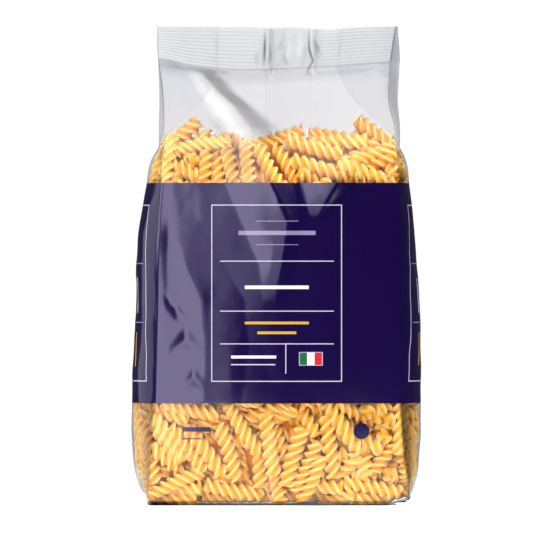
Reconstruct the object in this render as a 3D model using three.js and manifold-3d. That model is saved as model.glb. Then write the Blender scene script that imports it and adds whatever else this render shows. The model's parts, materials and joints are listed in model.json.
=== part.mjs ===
// A 400 g packet of spiral pasta: a film bag with side gussets that stands on its folded bottom.
// Millimetres, +Z up. The front panel faces -Y, and the origin is in the middle of the base.
// The film and what it holds are one closed solid, with the outer form of the filled bag.
import * as THREE from 'three';
import { LoftGeometry } from 'three/addons/geometries/LoftGeometry.js';
import { mergeVertices } from 'three/addons/utils/BufferGeometryUtils.js';
import Module from 'manifold-3d';

// Driving dimensions of the whole bag.
const HEIGHT = 249.6; // base to the cut edge of the top seal
const SEAL_HEIGHT = 18.6; // crimped band across the top
const SEAL_BOTTOM = HEIGHT - SEAL_HEIGHT;

// Sizes at a few heights, each measured out from the middle plane. The four creases divide the
// front, side and back panels. The side is the middle of a side panel: where it lies beyond the
// creases it bulges over the pasta, and where it lies short of them it is tucked in as a gusset.
// Height, front crease left and right, back crease left and right, side left and right,
// half depth at the creases, and how far the front and back panels crown.
const STATIONS = [
	[ 4, 67.0, 68.6, 66.0, 67.6, 68.6, 70.2, 24.0, 1.2 ],
	[ 12, 66.2, 68.2, 65.6, 67.2, 72.4, 72.6, 25.6, 2.6 ],
	[ 27, 65.0, 66.4, 64.8, 66.0, 75.0, 74.4, 26.6, 4.4 ],
	[ 55, 63.8, 64.4, 63.6, 64.2, 75.4, 75.0, 27.0, 5.8 ],
	[ 100, 62.7, 64.6, 62.6, 64.4, 73.6, 74.4, 27.0, 6.0 ],
	[ 140, 61.8, 63.6, 62.0, 63.6, 72.2, 71.8, 26.6, 5.6 ],
	[ 165, 60.0, 63.2, 61.2, 63.2, 68.2, 69.4, 25.0, 4.8 ],
	[ 182, 59.2, 62.8, 61.8, 64.0, 64.2, 66.4, 21.4, 3.8 ],
	[ 196, 59.0, 61.4, 61.8, 64.4, 54.0, 56.0, 16.4, 3.0 ],
	[ 212, 59.6, 58.4, 61.4, 63.2, 38.0, 39.0, 9.6, 2.2 ],
	[ 226, 61.4, 59.0, 61.8, 63.8, 32.5, 32.5, 3.0, 1.0 ],
	[ SEAL_BOTTOM, 62.0, 59.6, 62.0, 64.0, 62.0, 62.0, 0.6, 0.0 ],
	[ HEIGHT, 62.4, 62.4, 62.4, 62.9, 62.4, 62.6, 0.6, 0.0 ],
];

// The top seal: film pressed into crimps that run across the bag, with a gusset fold inside each
// end that makes it thicker there, and two pinches where the jaws caught a pleat.
const CRIMP_PITCH = 1.65;
const CRIMP_DEPTH = 0.35;
const GUSSET_DEPTH = 31; // how far each gusset is folded in at the seal
const GUSSET_STEP = 0.25; // extra thickness of the folded layers
const END_ROUND = 0.4; // how far the folded ends of the seal round out
const PINCHES = [
	{ x: - 4.5, halfWidth: 2.4, height: 1.9 },
	{ x: 18.5, halfWidth: 3.0, height: 2.2 },
];
const SEAL_BOW = 1.4; // the seal swings this far out of its plane
const CUT_WAVE = 0.6; // unevenness of the cut edge
const CUT_DIP = 1.6; // the cut edge dips between the pinches and the right end

// Folds of the front panel. The long one runs down and inwards from the left end of the seal.
const FOLD = { from: [ - 44, 233 ], to: [ 2, 190 ], depth: 2.6, halfWidth: 7 };
const PUCKER_LENGTH = 16; // the pinches go on as puckers below the seal

// The back seam, where the edges of the film are lapped and welded.
const SEAM = { left: - 7, right: 5, height: 0.8, slope: 0.5 };

// The base: a rim round a shallow recess, and the bottom seal folded flat across it. Scales are
// shares of the lowest full section. The right end of the bottom stands a little off the ground.
const BASE_RIM = [ { scale: 0.97, z: 0 }, { scale: 0.99, z: 1.2 } ];
const BASE_RECESS = [ { scale: 0.88, z: - 0.2 }, { scale: 0.82, z: 1.2 } ];
const CORNER_LIFT = { from: 56, to: 67, height: 2.6, fadedAt: 22 };
const FLAP = { halfLength: 62, back: 3, front: - 15.5, plain: - 1.5, thickness: 1.5, groove: 0.35 };

const clamp = THREE.MathUtils.clamp;
const smoothstep = THREE.MathUtils.smoothstep;

// A bump that is 1 at 0 and falls smoothly to 0 at a distance of 1.
const bump = ( distance ) => ( 1 - smoothstep( Math.abs( distance ), 0, 1 ) );

const stations = new THREE.CubicInterpolant(
	STATIONS.map( ( row ) => row[ 0 ] ),
	STATIONS.flatMap( ( row ) => row.slice( 1 ) ),
	STATIONS[ 0 ].length - 1,
);

function sizesAt( height ) {

	const v = stations.evaluate( height );
	return {
		front: [ v[ 0 ], v[ 1 ] ],
		back: [ v[ 2 ], v[ 3 ] ],
		side: [ v[ 4 ], v[ 5 ] ],
		halfDepth: v[ 6 ],
		crown: v[ 7 ],
	};

}

// How far a point of the front panel stands in (positive) from the plain crowned form.
function frontRelief( x, height ) {

	const [ x0, z0 ] = FOLD.from;
	const [ x1, z1 ] = FOLD.to;
	const length = Math.hypot( x1 - x0, z1 - z0 );
	const along = ( ( x - x0 ) * ( x1 - x0 ) + ( height - z0 ) * ( z1 - z0 ) ) / length / length;
	const across = ( ( x - x0 ) * ( z1 - z0 ) - ( height - z0 ) * ( x1 - x0 ) ) / length;
	const fade = smoothstep( along, 0, 0.15 ) * ( 1 - smoothstep( along, 0.6, 1.1 ) );
	let relief = FOLD.depth * fade * bump( across / FOLD.halfWidth );
	const below = ( SEAL_BOTTOM - height ) / PUCKER_LENGTH;
	for ( const pinch of PINCHES ) {

		const spread = pinch.halfWidth * ( 1 + Math.max( 0, below ) );
		relief -= 0.5 * pinch.height * bump( ( x - pinch.x ) / spread ) * bump( Math.max( 0, below ) );

	}

	return relief;

}

// The seal's middle surface: crimps, the bow along its length and the pinches.
function sealOffset( x, height ) {

	const rows = ( height - SEAL_BOTTOM ) / CRIMP_PITCH;
	const crimp = CRIMP_DEPTH * Math.cos( 2 * Math.PI * rows );
	const bow = SEAL_BOW * Math.sin( x / 27 );
	const pinch = PINCHES.reduce( ( sum, p ) => sum - p.height * bump( ( x - p.x ) / p.halfWidth ), 0 );
	return crimp + bow + pinch;

}

// The cut edge, the seal's lower edge and the base aren't straight, so heights depend on x there.
function wavyHeight( x, height ) {

	const atTop = smoothstep( height, SEAL_BOTTOM, HEIGHT );
	const atSeal = smoothstep( height, SEAL_BOTTOM - 30, SEAL_BOTTOM ) * ( 1 - atTop );
	const cut = CUT_WAVE * ( Math.cos( x / 9 ) - 1 ) * 0.5 * ( 1 + 0.4 * Math.sin( x / 4 ) )
		- CUT_DIP * bump( ( x - 20 ) / 45 );
	const sag = 1.7 * bump( ( x + 62 ) / 18 ) - 4.2 * bump( ( x + 20 ) / 46 ) - 2.6 * bump( ( x - 22 ) / 44 );
	const lift = CORNER_LIFT.height * smoothstep( x, CORNER_LIFT.from, CORNER_LIFT.to )
		* ( 1 - smoothstep( height, 0, CORNER_LIFT.fadedAt ) );
	return height + cut * atTop + sag * atSeal + lift;

}

// Where the points of a ring lie across a panel, as shares of its width. The front has more of
// them over the pinches, and the back has pairs at the edges of the seam.
const EVEN = ( count ) => Array.from( { length: count }, ( _, i ) => i / count );
const FRONT_SHARES = [ ...EVEN( 24 ), ...PINCHES.flatMap( ( p ) => [ - 0.75, - 0.25, 0.25, 0.75 ]
	.map( ( k ) => ( p.x + k * p.halfWidth + 62 ) / 124 ) ) ].sort( ( a, b ) => a - b );
const SIDE_SHARES = EVEN( 10 );
const BACK_SHARES = [ ...EVEN( 16 ).filter( ( s ) => Math.abs( s - 0.49 ) > 0.09 ), 0.42, 0.58,
	...[ SEAM.right + SEAM.slope, SEAM.right, 0, SEAM.left, SEAM.left - SEAM.slope ]
		.map( ( x ) => ( 62 - x ) / 124 ) ].sort( ( a, b ) => a - b );

function seamHeight( x ) {

	const inside = Math.min( x - SEAM.left, SEAM.right - x );
	return SEAM.height * clamp( 1 + inside / SEAM.slope, 0, 1 );

}

// One ring round the bag, counterclockwise seen from above, from the left front crease.
function ring( height, scale = 1, level = height ) {

	const { front, back, side, halfDepth, crown } = sizesAt( height );
	const seal = smoothstep( height, SEAL_BOTTOM - 6, SEAL_BOTTOM );
	const points = [];
	const add = ( x, y ) => {

		const z = wavyHeight( x, level );
		const shift = seal * sealOffset( x, Math.max( height, SEAL_BOTTOM ) );
		points.push( new THREE.Vector3( x * scale, ( y + shift ) * scale, z ) );

	};

	const foldEnd = 62 - GUSSET_DEPTH;
	const layers = ( x ) => seal * GUSSET_STEP * smoothstep( Math.abs( x ), foldEnd - 1, foldEnd );
	const arch = ( share ) => 1 - ( 2 * share - 1 ) ** 2;

	for ( const share of FRONT_SHARES ) {

		const x = THREE.MathUtils.lerp( - front[ 0 ], front[ 1 ], share );
		const relief = ( 1 - seal ) * Math.min( 1, halfDepth / 8 ) * frontRelief( x, height );
		add( x, - halfDepth - layers( x ) - crown * arch( share ) + relief );

	}

	const sidePoint = ( share, which, sign ) => {

		const crease = THREE.MathUtils.lerp( front[ which ], back[ which ], share );
		const peak = side[ which ] - ( front[ which ] + back[ which ] ) / 2;
		const round = smoothstep( peak, - 6, 4 );
		const form = round * arch( share ) + ( 1 - round ) * ( 1 - Math.abs( 2 * share - 1 ) );
		const depth = halfDepth + layers( 62 );
		const out = ( 1 - seal ) * peak * form + seal * END_ROUND * arch( share );
		add( sign * ( crease + out ), THREE.MathUtils.lerp( - depth, depth, share ) );

	};

	for ( const share of SIDE_SHARES ) sidePoint( share, 1, 1 );

	for ( const share of BACK_SHARES ) {

		const x = THREE.MathUtils.lerp( back[ 1 ], - back[ 0 ], share );
		add( x, halfDepth + layers( x ) + crown * arch( share ) + seamHeight( x ) );

	}

	for ( const share of SIDE_SHARES ) sidePoint( 1 - share, 0, - 1 );

	return points;

}

// Heights of the rings: closer together where the bag closes towards a seal.
function ringHeights() {

	const body = [ 4, 8, 13, 19, 27, 38, 52, 68, 84, 100, 116, 132, 146, 157, 166, 174, 181, 187,
		193, 199, 205, 211, 216, 221, 225, 228.5 ];
	const crimps = Math.floor( 2 * SEAL_HEIGHT / CRIMP_PITCH );
	const seal = Array.from( { length: crimps + 1 }, ( _, i ) => SEAL_BOTTOM + i * CRIMP_PITCH / 2 );
	return [ ...body, ...seal, HEIGHT ];

}

const loft = ( rings ) => new LoftGeometry( rings, { closed: true, capStart: true, capEnd: true } );
const baseRings = ( rims ) => rims.map( ( { scale, z } ) => ring( STATIONS[ 0 ][ 0 ], scale, z ) );
const wallRings = () => ringHeights().map( ( height ) => ring( height ) );

// The bottom seal, folded flat under the bag: a strip whose underside has the same crimps, with a
// plain edge along the fold.
function flapGeometry() {

	const profile = new THREE.Shape();
	profile.moveTo( FLAP.back, 0 );
	profile.lineTo( FLAP.back, FLAP.thickness );
	profile.lineTo( FLAP.front, FLAP.thickness );
	profile.lineTo( FLAP.front, 0 );
	const grooves = Math.floor( ( FLAP.plain - FLAP.front ) / CRIMP_PITCH );
	for ( let i = 0; i < grooves; i ++ ) {

		const y = FLAP.front + ( i + 0.4 ) * CRIMP_PITCH;
		profile.lineTo( y, 0 );
		profile.lineTo( y + 0.3 * CRIMP_PITCH, FLAP.groove );
		profile.lineTo( y + 0.6 * CRIMP_PITCH, 0 );

	}

	profile.closePath();
	const strip = new THREE.ExtrudeGeometry( profile, { depth: 2 * FLAP.halfLength, bevelEnabled: false } );
	// The profile's axes become Y and Z, and the extrusion runs along X.
	strip.applyMatrix4( new THREE.Matrix4().makeBasis(
		new THREE.Vector3( 0, 1, 0 ), new THREE.Vector3( 0, 0, 1 ), new THREE.Vector3( 1, 0, 0 ) ) );
	return strip.translate( - FLAP.halfLength, 0, 0 );

}

const wasm = await Module();
wasm.setup();

function solidFrom( geometry ) {

	const bare = new THREE.BufferGeometry().copy( geometry );
	bare.deleteAttribute( 'normal' );
	bare.deleteAttribute( 'uv' );
	const merged = mergeVertices( bare, 1e-4 );
	return new wasm.Manifold( new wasm.Mesh( {
		numProp: 3,
		vertProperties: merged.getAttribute( 'position' ).array,
		triVerts: new Uint32Array( merged.getIndex().array ),
	} ) );

}

function geometryFrom( solid ) {

	const mesh = solid.getMesh();
	const geometry = new THREE.BufferGeometry();
	geometry.setAttribute( 'position', new THREE.BufferAttribute( mesh.vertProperties, mesh.numProp ) );
	geometry.setIndex( new THREE.BufferAttribute( mesh.triVerts, 1 ) );
	geometry.computeVertexNormals();
	return geometry;

}

const filledBag = solidFrom( loft( [ ...baseRings( BASE_RIM ), ...wallRings() ] ) )
	.subtract( solidFrom( loft( baseRings( BASE_RECESS ) ) ) )
	.add( solidFrom( flapGeometry() ) );

// The measures above run from the middle of the top seal; this puts the origin under the middle.
const outside = geometryFrom( filledBag );
outside.computeBoundingBox();
const { min, max } = outside.boundingBox;
outside.translate( - ( min.x + max.x ) / 2, - ( min.y + max.y ) / 2, - min.z );

const film = new THREE.MeshStandardMaterial( { color: 0xe2b968, roughness: 0.3, metalness: 0 } );
const packet = new THREE.Mesh( outside, film );
packet.name = 'packet';

const pastaPacket = new THREE.Group();
pastaPacket.add( packet );

export default pastaPacket;
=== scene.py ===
# %% [markdown]
# # A packet of spiral pasta
# This script dresses the CAD model of a gusseted film packet. The real thing is one sheet of
# clear plastic film, wrapped into a tube, printed with a dark blue band and welded shut at both
# ends, with loose spiral pasta inside. The CAD solid only gives the outer form, so here it is
# replaced by the film and by the pasta that shows through it.

# %% Load the frame
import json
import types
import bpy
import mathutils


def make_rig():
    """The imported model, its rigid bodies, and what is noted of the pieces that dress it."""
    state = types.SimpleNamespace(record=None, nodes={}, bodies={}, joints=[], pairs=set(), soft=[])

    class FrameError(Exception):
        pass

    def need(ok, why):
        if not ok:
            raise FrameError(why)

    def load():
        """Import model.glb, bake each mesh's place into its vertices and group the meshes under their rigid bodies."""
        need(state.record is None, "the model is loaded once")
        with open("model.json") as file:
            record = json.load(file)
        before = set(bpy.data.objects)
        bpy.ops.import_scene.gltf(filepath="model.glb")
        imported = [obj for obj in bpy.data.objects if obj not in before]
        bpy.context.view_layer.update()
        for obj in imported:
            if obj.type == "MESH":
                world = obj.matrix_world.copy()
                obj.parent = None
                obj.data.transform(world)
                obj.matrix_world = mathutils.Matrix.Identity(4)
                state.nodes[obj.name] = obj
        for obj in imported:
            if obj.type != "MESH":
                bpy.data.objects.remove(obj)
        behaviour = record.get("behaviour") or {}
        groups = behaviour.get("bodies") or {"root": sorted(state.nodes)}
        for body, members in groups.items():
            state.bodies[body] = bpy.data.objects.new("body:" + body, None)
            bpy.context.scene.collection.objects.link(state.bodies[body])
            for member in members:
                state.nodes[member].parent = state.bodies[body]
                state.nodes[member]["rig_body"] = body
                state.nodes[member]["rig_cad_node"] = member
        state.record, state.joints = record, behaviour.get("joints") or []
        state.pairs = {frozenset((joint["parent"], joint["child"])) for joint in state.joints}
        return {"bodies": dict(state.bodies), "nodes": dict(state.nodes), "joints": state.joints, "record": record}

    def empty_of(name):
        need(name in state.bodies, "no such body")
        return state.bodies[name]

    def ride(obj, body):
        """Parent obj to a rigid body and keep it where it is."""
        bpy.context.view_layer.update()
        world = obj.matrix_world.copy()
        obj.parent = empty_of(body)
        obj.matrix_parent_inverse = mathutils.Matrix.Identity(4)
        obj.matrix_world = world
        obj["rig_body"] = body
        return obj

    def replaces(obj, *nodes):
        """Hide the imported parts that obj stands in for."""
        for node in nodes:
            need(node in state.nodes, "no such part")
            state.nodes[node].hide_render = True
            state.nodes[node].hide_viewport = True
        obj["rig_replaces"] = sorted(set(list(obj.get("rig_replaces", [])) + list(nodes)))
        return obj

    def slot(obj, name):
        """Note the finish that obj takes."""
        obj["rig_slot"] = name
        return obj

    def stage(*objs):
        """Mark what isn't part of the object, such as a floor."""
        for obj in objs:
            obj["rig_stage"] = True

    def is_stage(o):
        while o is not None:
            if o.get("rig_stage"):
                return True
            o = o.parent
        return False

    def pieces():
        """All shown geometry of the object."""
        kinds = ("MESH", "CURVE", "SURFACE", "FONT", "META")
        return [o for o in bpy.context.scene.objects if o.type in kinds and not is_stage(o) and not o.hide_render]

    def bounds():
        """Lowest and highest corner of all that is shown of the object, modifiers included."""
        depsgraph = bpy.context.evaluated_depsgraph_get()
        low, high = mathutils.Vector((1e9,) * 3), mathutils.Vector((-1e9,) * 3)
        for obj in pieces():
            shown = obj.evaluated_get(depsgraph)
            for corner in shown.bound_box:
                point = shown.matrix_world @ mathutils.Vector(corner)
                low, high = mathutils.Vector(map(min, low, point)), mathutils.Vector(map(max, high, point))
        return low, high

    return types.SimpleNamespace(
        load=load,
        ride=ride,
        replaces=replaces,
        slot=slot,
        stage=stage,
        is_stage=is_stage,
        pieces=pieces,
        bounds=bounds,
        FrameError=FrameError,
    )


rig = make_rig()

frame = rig.load()
cad_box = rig.bounds()

import json
from types import SimpleNamespace

import bmesh
import bpy
import numpy as np
from mathutils import Matrix, Vector, noise
from mathutils.bvhtree import BVHTree

MM = 0.001  # Blender works in metres, and everything below is worked out in millimetres
print("CAD box:", cad_box)

# %% [markdown]
# ## Sizes of the bag
# The film tube has four creases, which divide a front, two side and a back panel. A row of the
# table gives how far out they lie at one height. Between the rows a smooth curve is used, because
# glossy film shows every kink. Above 182 mm the sides fold inwards as gussets, and from the
# bottom of the top seal upwards all the layers lie flat on one another.

# %% Sizes at a few heights
SEAL_BOTTOM, HEIGHT = 231.0, 249.6
BAND = (53.3, 167.7)  # bottom and top of the printed band
MIDDLE = (0.2, -0.35)  # where the middle of the top seal lies in the frame

# Height, front crease left and right, back crease left and right, middle of the side panel left
# and right, half depth at the creases, and how far the front and back panels crown.
STATIONS = np.array([
    (0, 66.4, 68.4, 66.2, 68.0, 67.0, 69.0, 22.8, 0.8),
    (4, 67.0, 68.6, 66.0, 67.6, 68.6, 70.2, 24.0, 1.2),
    (12, 66.2, 68.2, 65.6, 67.2, 72.4, 72.6, 25.6, 2.6),
    (27, 65.0, 66.4, 64.8, 66.0, 75.0, 74.4, 26.6, 4.4),
    (55, 63.8, 64.4, 63.6, 64.2, 75.4, 75.0, 27.0, 5.8),
    (100, 62.7, 64.6, 62.6, 64.4, 73.6, 74.4, 27.0, 6.0),
    (140, 61.8, 63.6, 62.0, 63.6, 72.2, 71.8, 26.6, 5.6),
    (165, 60.0, 63.2, 61.2, 63.2, 68.2, 69.4, 25.0, 4.8),
    (182, 59.2, 62.8, 61.8, 64.0, 64.2, 66.4, 21.4, 3.8),
    (196, 59.0, 61.4, 61.8, 64.4, 54.0, 56.0, 16.4, 3.0),
    (212, 59.6, 58.4, 61.4, 63.2, 38.0, 39.0, 9.6, 2.2),
    (226, 61.4, 59.0, 61.8, 63.8, 32.5, 32.5, 3.0, 1.0),
    (SEAL_BOTTOM, 62.0, 59.6, 62.0, 64.0, 31.0, 31.0, 0.5, 0.0),
    (HEIGHT, 62.4, 62.4, 62.4, 62.9, 31.0, 31.0, 0.5, 0.0),
])


def smooth_rows(place):
    """The table's values at each height, on smooth curves through its rows."""
    knots, values = STATIONS[:, 0], STATIONS[:, 1:]
    slopes = np.gradient(values, knots, axis=0)
    i = np.clip(np.searchsorted(knots, place) - 1, 0, len(knots) - 2)
    step = (knots[i + 1] - knots[i])[:, None]
    t = np.clip((place - knots[i])[:, None] / step, 0, 1)
    start = (2 * t**3 - 3 * t**2 + 1) * values[i] + (t**3 - 2 * t**2 + t) * step * slopes[i]
    row = start + (3 * t**2 - 2 * t**3) * values[i + 1] + (t**3 - t**2) * step * slopes[i + 1]
    row[:, 6:] = np.maximum(row[:, 6:], (0.5, 0))  # the seal's layers never pass through one another
    return row


def ease(x, low, high):
    """0 below low, 1 above high, and an even slope between them."""
    t = np.clip((x - low) / (high - low), 0, 1)
    return t * t * (3 - 2 * t)


def bump(distance):
    """1 at 0, falling smoothly to 0 at a distance of 1."""
    return 1 - ease(np.abs(distance), 0, 1)


print("Half widths at 100 mm:", smooth_rows(np.array([100.0]))[0, :6])

# %% [markdown]
# ## Folds in the film
# Film doesn't stretch, so where it is pulled it breaks into long, nearly flat facets that meet in
# creases, and each facet mirrors one part of the studio. A fold here is a crest that follows a
# track, with a straight slope up to it on one side and down from it on the other. They are placed
# where the photograph shows them, and a finer crumple of cone-shaped cells goes over all.

# %% Listed folds
# Rows of a track: place along the fold, where the crest is, its height, and how far the slopes
# reach before and after it, all in millimetres.
LONG_FOLD = [  # from the middle of the printed band up to the left end of the seal
    (104, -1.0, 0.0, 6, 4), (125, 3.2, 1.6, 13, 5), (147, 6.2, 2.8, 25, 7), (168, -3.4, 3.5, 23, 13),
    (182, -7.5, 3.2, 21, 13), (195, -12.8, 3.2, 20, 13), (202, -18.2, 3.2, 19, 10.7),
    (209.5, -23.4, 3.0, 17, 8.5), (216.5, -30.3, 2.6, 15, 8.5), (225, -36.7, 2.0, 12, 9),
    (231, -42, 0.0, 8, 6)]
FRONT_UPRIGHT_FOLDS = [
    LONG_FOLD,
    # The short one to the right of it.
    [(149, 20.3, 0.0, 3, 4), (168, 32.0, 3.8, 20, 8), (182, 34.0, 2.4, 20, 14),
     (196, 36.0, 0.0, 12, 12)],
    # Along the left third of the band.
    [(44, -39, 0.0, 14, 18), (54, -38, 0.9, 18, 19), (82, -36.9, 1.4, 20, 22),
     (107, -39.0, 1.6, 19, 22), (128, -49, 0.8, 14, 20), (150, -56, 0.35, 12, 14),
     (172, -57, 0.25, 10, 14), (190, -57, 0, 6, 12)],
    # Near the right crease.
    [(60, 58, 0.0, 12, 4), (92, 56.5, 0.3, 14, 5), (130, 57.5, 0.4, 14, 4), (160, 57, 0.0, 12, 4)],
]
FRONT_LEVEL_FOLDS = [
    [(-61, 111, 0.0, 5, 4), (-52, 102, 0.5, 7, 4), (-46, 95.4, 0.0, 4, 3)],
    [(-56, 81, 0.0, 6, 4), (-47, 86.5, 0.58, 5, 8), (-38, 80, 0.0, 5, 4)],
    [(-49, 63, 0.0, 5, 4), (-43, 67, 0.54, 5, 7), (-37, 61, 0.0, 4, 4)],
]


def fold_place(across, along, track):
    """Where a point lies on a fold: -1 to 0 on the slope before the crest, 0 to 1 on the other."""
    place, crest, _, before, after = np.array(track, float).T
    offset = across - np.interp(along, place, crest)
    reach = np.where(offset < 0, np.interp(along, place, before), np.interp(along, place, after))
    return offset / reach


def fold(across, along, track):
    """Height of the film over its plain form, for the fold that follows a track."""
    place, height = np.array(track, float).T[[0, 2]]
    share = np.clip(1 - np.abs(fold_place(across, along, track)), 0, 1)
    return np.interp(along, place, height) * share


def crumple(points, cell, stretch=(1, 1, 1), seed=0.0):
    """Cone-shaped cells, about 0 to 1 high, over points in mm."""
    places = np.asarray(points) / (cell * np.asarray(stretch, float)) + seed
    return np.array([noise.voronoi(Vector(p))[0][0] for p in places])


def lumps(points, size, seed=0.0):
    """Soft unevenness from about -1 to 1, over points in mm."""
    return np.array([noise.noise(Vector(p)) for p in np.asarray(points) / size + seed])


print(len(FRONT_UPRIGHT_FOLDS) + len(FRONT_LEVEL_FOLDS), "hand-placed folds")

# %% [markdown]
# ## The top seal
# Heated jaws press the film's layers together and leave level crimps. The jaws also catch slack
# film here and there, which makes the upright pinches near the middle, and the knife that parts
# one bag from the next leaves a slightly wavy edge.

# %% Shape of the top seal
CRIMP_PITCH, CRIMP_DEPTH = 1.55, 0.08
PINCHES = [(-4.5, 2.6, 2.0), (18.5, 3.2, 2.3)]  # where, half width and height


def seal_offset(x, z):
    """How far the seal's layers stand out from its middle plane, towards the back."""
    crimp = CRIMP_DEPTH * np.cos(2 * np.pi * (z - SEAL_BOTTOM) / CRIMP_PITCH)
    bow = 1.4 * np.sin(x / 27)
    pinch = sum(height * bump((x - at) / half) for at, half, height in PINCHES)
    slack = (0.4 * np.sin(x * 1.1) + 1.1 * lumps(np.c_[x, 0 * x, z * 0.5], 4.3)) * bump((x - 6) / 26)
    return crimp * (1 - 0.5 * bump((x - 5) / 26)) + bow - pinch - slack * bump((z - 240) / 10)


def corner_lift(x, z):
    """The lower right corner of the bag stands a little off the floor."""
    return 2.6 * ease(x, 56, 67) * (1 - ease(z, 0, 22))


def film_height(x, z):
    """The height of a point, after the waves of the cut edge and the seal and the raised corner."""
    at_top = ease(z, SEAL_BOTTOM, HEIGHT)
    at_seal = ease(z, SEAL_BOTTOM - 30, SEAL_BOTTOM) * (1 - at_top)
    cut = -1.4 * bump((x - 25) / 22) - 0.9 * bump((x + 3) / 14) - 0.12 * np.sin(x * 0.8) ** 2
    cut = cut + 0.22 * np.sin(x * 1.7) * np.sin(x * 0.61)
    sag = 1.7 * bump((x + 62) / 18) - 4.2 * bump((x + 20) / 46) - 2.6 * bump((x - 22) / 44)
    return z + cut * at_top + sag * at_seal + corner_lift(x, z)


print("Crimps across the seal:", round((HEIGHT - SEAL_BOTTOM) / CRIMP_PITCH))

# %% [markdown]
# ## The film as a surface
# Every later step has to know where the film is: the film itself, the print on it and the pasta
# that leans on it. So one function gives its place, from a count round the bag (0 to 1 across the
# front, then the right side, the back and the left side) and a height.

# %% Where the film is
def side_reach(from_front, row):
    """How far out the left and the right side lie, at a share of the way from the front crease to
    the back one. A row holds the sizes at one height."""
    left, right, back_left, back_right, side_left, side_right = row.T[:6]
    arch = 1 - (2 * from_front - 1) ** 2
    tent = 1 - np.abs(2 * from_front - 1)
    reaches = []
    for front, back, middle in ((left, back_left, side_left), (right, back_right, side_right)):
        bulge = middle - (front + back) / 2
        rounded = ease(bulge, -8, 4)
        shape = rounded * arch + (1 - rounded) * tent
        reaches.append(front + (back - front) * from_front + bulge * shape)
    return reaches


def plain_film(around, z):
    """x and y of the film without its folds, in mm."""
    row = smooth_rows(z)
    left, right, back_left, back_right, _, _, depth, crown = row.T
    panel, share = np.floor(around).astype(int) % 4, around - np.floor(around)
    from_front = np.where(panel == 1, share, 1 - share)
    reach_left, reach_right = side_reach(from_front, row)
    front_x = (left + right) * share - left
    back_x = back_right - (back_right + back_left) * share
    x = np.select([panel == 0, panel == 1, panel == 2], [front_x, reach_right, back_x], -reach_left)
    arch = 1 - (2 * share - 1) ** 2
    y = np.select([panel == 0, panel == 2], [-depth - crown * arch, depth + crown * arch],
                  depth * (2 * from_front - 1))
    return x, y


# %% [markdown]
# Folds, crumple and the pinches below the seal are one relief over that plain form. It fades out
# towards the seal, the four creases and the base.

# %% The film with its folds
SINK = 0.3  # the mean height of the crumple, so that the film stays about its plain form


def film_relief(x, y, z, panel):
    """How far the folds and the crumple stand out from the plain film, in mm."""
    here = np.c_[x, y, z]
    fine = 0.4 * crumple(here, 24, (1, 1, 1.5)) + 0.3 * lumps(here, 34, 3.1) + 0.06 * lumps(here, 9, 7.7)
    left_third = 0.25 * crumple(here, 15, (1, 1, 1.7), 5.0) * ease(-x, 30, 42)
    folds = np.maximum.reduce([fold(x, z, t) for t in FRONT_UPRIGHT_FOLDS])
    folds = folds + sum(fold(z, x, t) for t in FRONT_LEVEL_FOLDS)
    # Below the seal its pinches widen and fade.
    below = SEAL_BOTTOM - z
    puckers = sum(0.35 * height * bump((x - at) / (half * (1 + below / 9))) * bump(below / 20)
                  for at, half, height in PINCHES)
    front = folds + puckers + fine - SINK + left_third
    sides = 0.7 * crumple(here, 17, (1, 1, 1.9), 9.0) + 0.4 * lumps(here, 12, 1.3) - SINK
    return np.select([panel == 0, panel == 2], [front, fine * 1.5 - SINK], sides)


def film(around, z, lift=0.0, detail=True):
    """The film's points in mm, folds included; lift moves them off its outer face."""
    around, z = np.broadcast_arrays(np.asarray(around, float), np.asarray(z, float))
    around, z = around.ravel(), z.ravel()
    x, y = plain_film(around, z)
    panel, share = np.floor(around).astype(int) % 4, around - np.floor(around)
    seal = ease(z, SEAL_BOTTOM - 6, SEAL_BOTTOM)
    out = np.zeros_like(x)
    if detail:
        inside_edges = np.clip(share * (1 - share) * 24, 0, 1)
        out = film_relief(x, y, z, panel) * (1 - seal) * inside_edges * ease(z, 0, 8)
    out = out + lift
    x = x + np.select([panel == 1, panel == 3], [out, -out], 0.0)
    y = y + np.select([panel == 0, panel == 2], [-out, out], 0.0)
    y = y + seal * seal_offset(x, np.maximum(z, SEAL_BOTTOM))
    return np.c_[x + MIDDLE[0], y + MIDDLE[1], film_height(x, z)]


print("Middle of the front panel:", film(0.5, 110.0)[0].round(1))

# %% [markdown]
# The pasta needs the same surface from the inside: the nearest place to a point that still lies
# within the bag.

# %% The inside of the film
def half_depth(x, row):
    left, depth, crown = row.T[[0, 6, 7]]
    return depth + crown * (1 - np.clip(x / left, -1, 1) ** 2)


def inside(points, gap):
    """Points in mm, moved where needed to lie at least a gap within the film's plain form."""
    x, y, z = points.T
    row = smooth_rows(z)
    most = half_depth(x, row) - gap
    y = np.clip(y, -most, most)
    reach_left, reach_right = side_reach(np.clip(y / row[:, 6] + 1, 0, 2) / 2, row)
    return np.c_[np.clip(x, gap - reach_left, reach_right - gap), y, z]


print("Nearest place inside:", inside(np.array([[90.0, 0, 110]]), 1.0)[0].round(1))

# %% [markdown]
# ## Making a piece from a grid
# The film, the printed bars and the seal strips are all thin sheets that follow the bag. Blender's
# grid operator makes a flat sheet of even squares, and moving its corners with the function above
# wraps it round the bag. The same helper does all of them.

# %% Wrap a grid
def new_piece(name, mesh, materials, slot="film"):
    """Puts a finished mesh in the scene as a piece of the packet."""
    piece = bpy.data.objects.new(name, mesh)
    bpy.context.scene.collection.objects.link(piece)
    for material in materials:
        mesh.materials.append(material)
    mesh.polygons.foreach_set("use_smooth", [True] * len(mesh.polygons))
    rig.ride(piece, "root")
    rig.slot(piece, slot)
    return piece


def put_values(mesh, values_by_name):
    """Stores a number for each corner of a mesh, for its material to read."""
    for name, values in values_by_name.items():
        mesh.attributes.new(name, "FLOAT", "POINT").data.foreach_set("value", values)


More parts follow.
